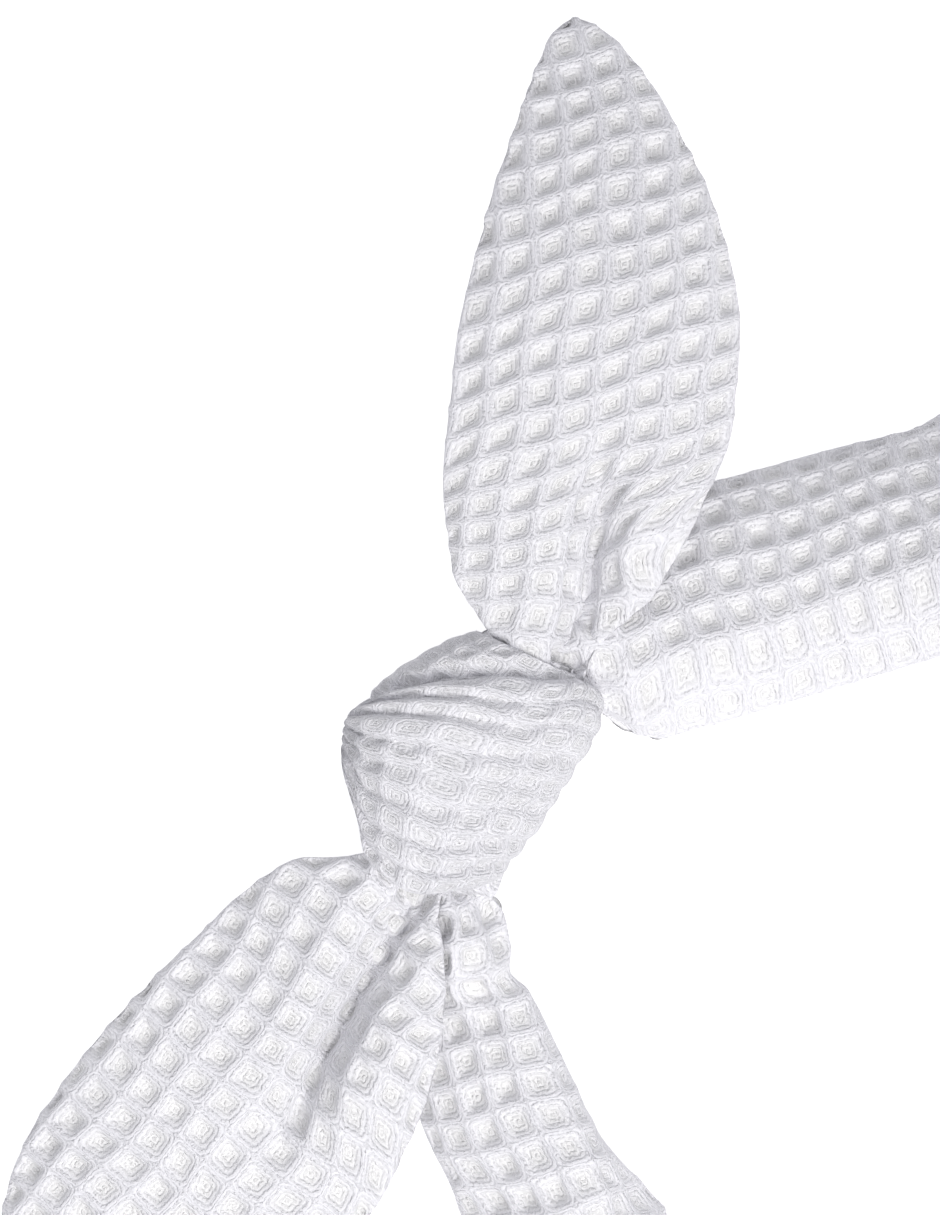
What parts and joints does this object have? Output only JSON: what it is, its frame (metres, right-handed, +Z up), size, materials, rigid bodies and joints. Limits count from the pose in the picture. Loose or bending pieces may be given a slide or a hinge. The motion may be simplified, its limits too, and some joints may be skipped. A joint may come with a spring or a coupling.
{
  "type": "spa headband",
  "caption": "Tied spa headband of white waffle cotton: a soft loop with nape elastic, knotted at the front, with two padded leaf-shaped ears.",
  "frame": {"origin": "middle of the knot's flat underside, on the surface that the headband lies on", "axes": "+Z up, away from the surface; +Y from the knot towards the nape; X across, with the upper ear at -X and the lower ear at +X"},
  "size_m": [0.3015, 0.1981, 0.047],
  "materials": {
    "waffle_cotton": "white honeycomb waffle weave, matte",
    "wadding": "soft white fibre wadding",
    "elastic": "woven flat elastic, matte",
    "thread": "white sewing thread"
  },
  "bodies": {
    "band": {"strap_left": "waffle_cotton", "strap_left_padding": "wadding", "strap_left_join": "waffle_cotton", "strap_right": "waffle_cotton", "strap_right_padding": "wadding", "strap_right_join": "waffle_cotton", "band_pinch": "waffle_cotton", "tie_pass": "waffle_cotton", "knot_under_turn": "waffle_cotton", "knot_over_turn": "waffle_cotton"},
    "nape": {"nape_casing": "waffle_cotton", "nape_elastic": "elastic", "elastic_tack_left": "thread", "elastic_tack_right": "thread"},
    "ear_upper": {"ear_upper_front": "waffle_cotton", "ear_upper_back": "waffle_cotton", "ear_upper_padding": "wadding"},
    "ear_lower": {"ear_lower_front": "waffle_cotton", "ear_lower_back": "waffle_cotton", "ear_lower_padding": "wadding"}
  },
  "joints": [
    {"name": "nape_stretch", "type": "slide", "parent": "band", "child": "nape", "axis": [0, 1, 0], "range_m": [0, 0.03], "stiffness_N_per_m": 150},
    {"name": "ear_upper_lift", "type": "hinge", "parent": "band", "child": "ear_upper", "pos_m": [-0.03359, 0.00444, 0.0193], "axis": [-0.1219, 0.9925, 0], "range_deg": [0, 60]},
    {"name": "ear_lower_lift", "type": "hinge", "parent": "band", "child": "ear_lower", "pos_m": [0.03063, 0.00326, 0.0193], "axis": [0.1219, -0.9925, 0], "range_deg": [0, 60]}
  ]
}
